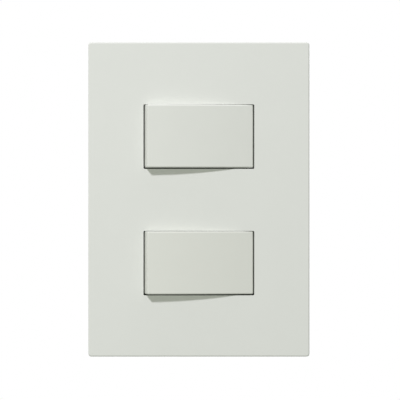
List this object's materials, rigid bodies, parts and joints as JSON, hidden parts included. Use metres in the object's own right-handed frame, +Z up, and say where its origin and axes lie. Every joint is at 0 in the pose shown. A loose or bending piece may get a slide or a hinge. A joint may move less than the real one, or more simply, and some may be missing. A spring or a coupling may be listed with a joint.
{
  "type": "double light switch",
  "caption": "Wall light switch: rectangular faceplate with stacked wide rocker keys that tilt sideways, on a support frame with screw terminals at the back.",
  "frame": {"origin": "centre of the plate on the wall surface, midway between the box screws", "axes": "+X to the right seen from the front, +Y into the wall, +Z up"},
  "size_m": [0.083, 0.0345, 0.118],
  "materials": {
    "plate_plastic": "off-white moulded plastic, satin, faint grain",
    "rocker_plastic": "off-white moulded plastic, satin",
    "support_plastic": "pale grey moulded plastic",
    "carrier_plastic": "pale grey moulded plastic",
    "base_plastic": "light grey heat-resistant plastic",
    "plunger_plastic": "natural acetal",
    "spring_steel": "drawn spring wire",
    "contact_brass": "stamped brass sheet",
    "contact_silver": "silver alloy rivets",
    "screw_steel": "zinc-plated steel",
    "clamp_steel": "zinc-plated steel sheet"
  },
  "bodies": {
    "housing": {"faceplate": "plate_plastic", "support_frame": "support_plastic", "box_screws": "screw_steel", "upper_carrier": "carrier_plastic", "upper_base": "base_plastic", "upper_common_terminal": "contact_brass", "upper_switched_terminal": "contact_brass", "upper_fixed_contact_tip": "contact_silver", "upper_terminal_screws": "screw_steel", "upper_clamp_plates": "clamp_steel", "lower_carrier": "carrier_plastic", "lower_base": "base_plastic", "lower_common_terminal": "contact_brass", "lower_switched_terminal": "contact_brass", "lower_fixed_contact_tip": "contact_silver", "lower_terminal_screws": "screw_steel", "lower_clamp_plates": "clamp_steel"},
    "upper_key": {"upper_rocker": "rocker_plastic", "upper_rocker_spring": "spring_steel"},
    "upper_pin": {"upper_plunger": "plunger_plastic"},
    "upper_strip": {"upper_moving_contact": "contact_brass", "upper_moving_contact_tip": "contact_silver"},
    "lower_key": {"lower_rocker": "rocker_plastic", "lower_rocker_spring": "spring_steel"},
    "lower_pin": {"lower_plunger": "plunger_plastic"},
    "lower_strip": {"lower_moving_contact": "contact_brass", "lower_moving_contact_tip": "contact_silver"}
  },
  "joints": [
    {"name": "upper_rocker_tilt", "type": "hinge", "parent": "housing", "child": "upper_key", "pos_m": [0, -0.0039, 0.02375], "axis": [0, 0, -1], "range_deg": [0, 11]},
    {"name": "upper_contact_rock", "type": "hinge", "parent": "housing", "child": "upper_strip", "pos_m": [0, 0.0091, 0.02375], "axis": [0, 0, 1], "range_deg": [0, 22]},
    {"name": "upper_plunger_slide", "type": "slide", "parent": "upper_key", "child": "upper_pin", "axis": [0.0958, -0.9954, 0], "range_m": [0, 0.0008], "stiffness_N_per_m": 400, "springref_m": -0.004, "deforming": ["upper_rocker_spring"]},
    {"name": "lower_rocker_tilt", "type": "hinge", "parent": "housing", "child": "lower_key", "pos_m": [0, -0.0039, -0.02375], "axis": [0, 0, -1], "range_deg": [0, 11]},
    {"name": "lower_contact_rock", "type": "hinge", "parent": "housing", "child": "lower_strip", "pos_m": [0, 0.0091, -0.02375], "axis": [0, 0, 1], "range_deg": [0, 22]},
    {"name": "lower_plunger_slide", "type": "slide", "parent": "lower_key", "child": "lower_pin", "axis": [0.0958, -0.9954, 0], "range_m": [0, 0.0008], "stiffness_N_per_m": 400, "springref_m": -0.004, "deforming": ["lower_rocker_spring"]}
  ],
  "couplings": [
    {"joint": "upper_contact_rock", "follows": "upper_rocker_tilt", "ratio": 2},
    {"joint": "lower_contact_rock", "follows": "lower_rocker_tilt", "ratio": 2}
  ]
}
